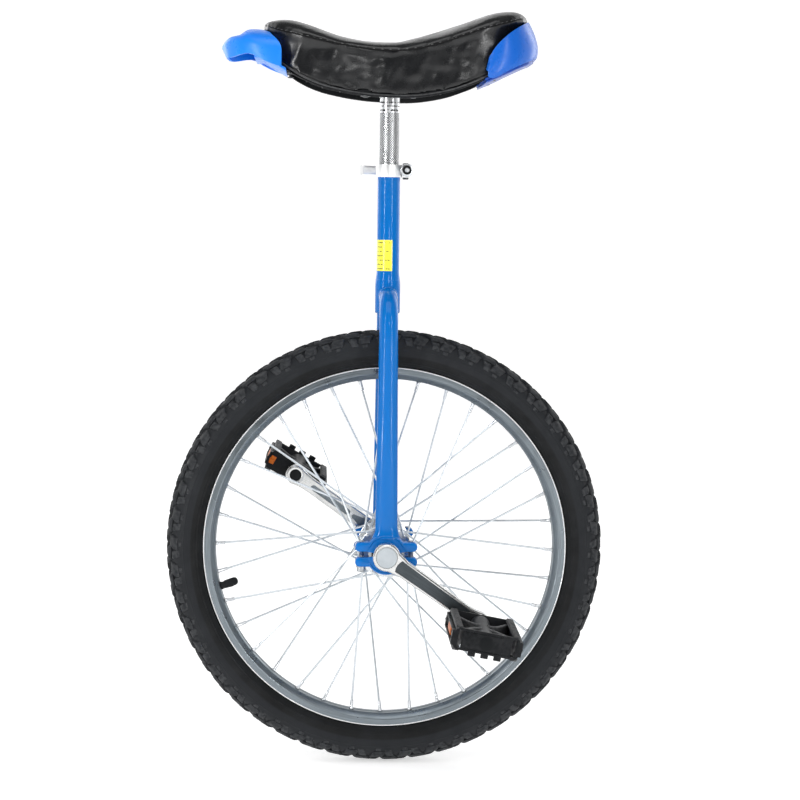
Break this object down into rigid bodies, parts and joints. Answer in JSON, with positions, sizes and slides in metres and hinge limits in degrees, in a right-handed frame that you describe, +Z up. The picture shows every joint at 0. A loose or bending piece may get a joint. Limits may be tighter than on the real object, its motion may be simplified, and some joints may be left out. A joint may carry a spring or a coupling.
{
  "type": "unicycle",
  "caption": "Unicycle with a blue fork frame, a spoked pneumatic wheel with fixed cranks and platform pedals, and a padded saddle with grab handle on a clamped sliding post.",
  "frame": {"origin": "tyre's contact with the ground, under the wheel's centre", "axes": "+X forward, the way the rider faces; +Y to the rider's left, along the axle; +Z up"},
  "size_m": [0.5, 0.3656, 0.8552],
  "materials": {
    "blue_paint": "gloss",
    "blue_plastic": "gloss",
    "black_plastic": "satin",
    "grey_plastic": "satin",
    "amber_plastic": "gloss",
    "leatherette": "gloss",
    "foam": "matte",
    "tyre_rubber": "matte",
    "tube_rubber": "matte",
    "bright_aluminium": "polished",
    "brushed_aluminium": "brushed",
    "polished_alloy": "polished",
    "zinc_steel": "satin",
    "spoke_steel": "satin",
    "bearing_steel": "satin",
    "dark_steel": "satin"
  },
  "bodies": {
    "frame": {"frame": "blue_paint", "left_bearing_cap": "blue_paint", "right_bearing_cap": "blue_paint", "left_front_cap_bolt": "zinc_steel", "right_front_cap_bolt": "zinc_steel", "left_rear_cap_bolt": "zinc_steel", "right_rear_cap_bolt": "zinc_steel", "left_bearing_outer_ring": "bearing_steel", "right_bearing_outer_ring": "bearing_steel", "seat_clamp_collar": "bright_aluminium", "seat_clamp_skewer": "zinc_steel", "seat_clamp_nut": "zinc_steel", "seat_clamp_cam_washer": "black_plastic"},
    "lever": {"seat_clamp_lever": "bright_aluminium", "seat_clamp_lever_pin": "dark_steel"},
    "wheel": {"tyre": "tyre_rubber", "rim": "brushed_aluminium", "rim_tape": "black_plastic", "inner_tube": "tube_rubber", "valve_cap": "black_plastic", "hub_shell": "zinc_steel", "left_spokes": "spoke_steel", "right_spokes": "spoke_steel", "axle": "dark_steel", "left_bearing_inner_ring": "bearing_steel", "right_bearing_inner_ring": "bearing_steel", "left_crank": "polished_alloy", "right_crank": "polished_alloy", "left_crank_bolt": "zinc_steel", "right_crank_bolt": "zinc_steel", "left_dust_cap": "grey_plastic", "right_dust_cap": "grey_plastic", "left_pedal_spindle": "zinc_steel", "right_pedal_spindle": "zinc_steel", "left_pedal_nut": "zinc_steel", "right_pedal_nut": "zinc_steel"},
    "left_pedal": {"left_pedal_body": "black_plastic", "left_pedal_bush": "dark_steel", "left_pedal_end_cap": "black_plastic", "left_pedal_front_reflector": "amber_plastic", "left_pedal_rear_reflector": "amber_plastic"},
    "right_pedal": {"right_pedal_body": "black_plastic", "right_pedal_bush": "dark_steel", "right_pedal_end_cap": "black_plastic", "right_pedal_front_reflector": "amber_plastic", "right_pedal_rear_reflector": "amber_plastic"},
    "seat": {"seat_post": "zinc_steel", "saddle_base": "black_plastic", "saddle_foam": "foam", "saddle_cover": "leatherette", "front_handle": "blue_plastic", "rear_bumper": "blue_plastic", "saddle_stud_front_left": "zinc_steel", "saddle_stud_front_right": "zinc_steel", "saddle_stud_rear_left": "zinc_steel", "saddle_stud_rear_right": "zinc_steel", "handle_screw_left": "dark_steel", "handle_screw_right": "dark_steel", "bumper_screw_left": "dark_steel", "bumper_screw_right": "dark_steel"}
  },
  "joints": [
    {"name": "wheel_spin", "type": "hinge", "parent": "frame", "child": "wheel", "pos_m": [0, 0, 0.25], "axis": [0, 1, 0], "continuous": true},
    {"name": "left_pedal_spin", "type": "hinge", "parent": "wheel", "child": "left_pedal", "pos_m": [-0.10378, 0.133, 0.17679], "axis": [0, 1, 0], "continuous": true},
    {"name": "right_pedal_spin", "type": "hinge", "parent": "wheel", "child": "right_pedal", "pos_m": [0.10378, -0.133, 0.32321], "axis": [0, 1, 0], "continuous": true},
    {"name": "seat_height", "type": "slide", "parent": "frame", "child": "seat", "axis": [0, 0, 1], "range_m": [-0.06, 0.035]},
    {"name": "clamp_lever", "type": "hinge", "parent": "frame", "child": "lever", "pos_m": [-0.0198, -0.024, 0.68], "axis": [0, 0, -1], "range_deg": [0, 150]}
  ]
}
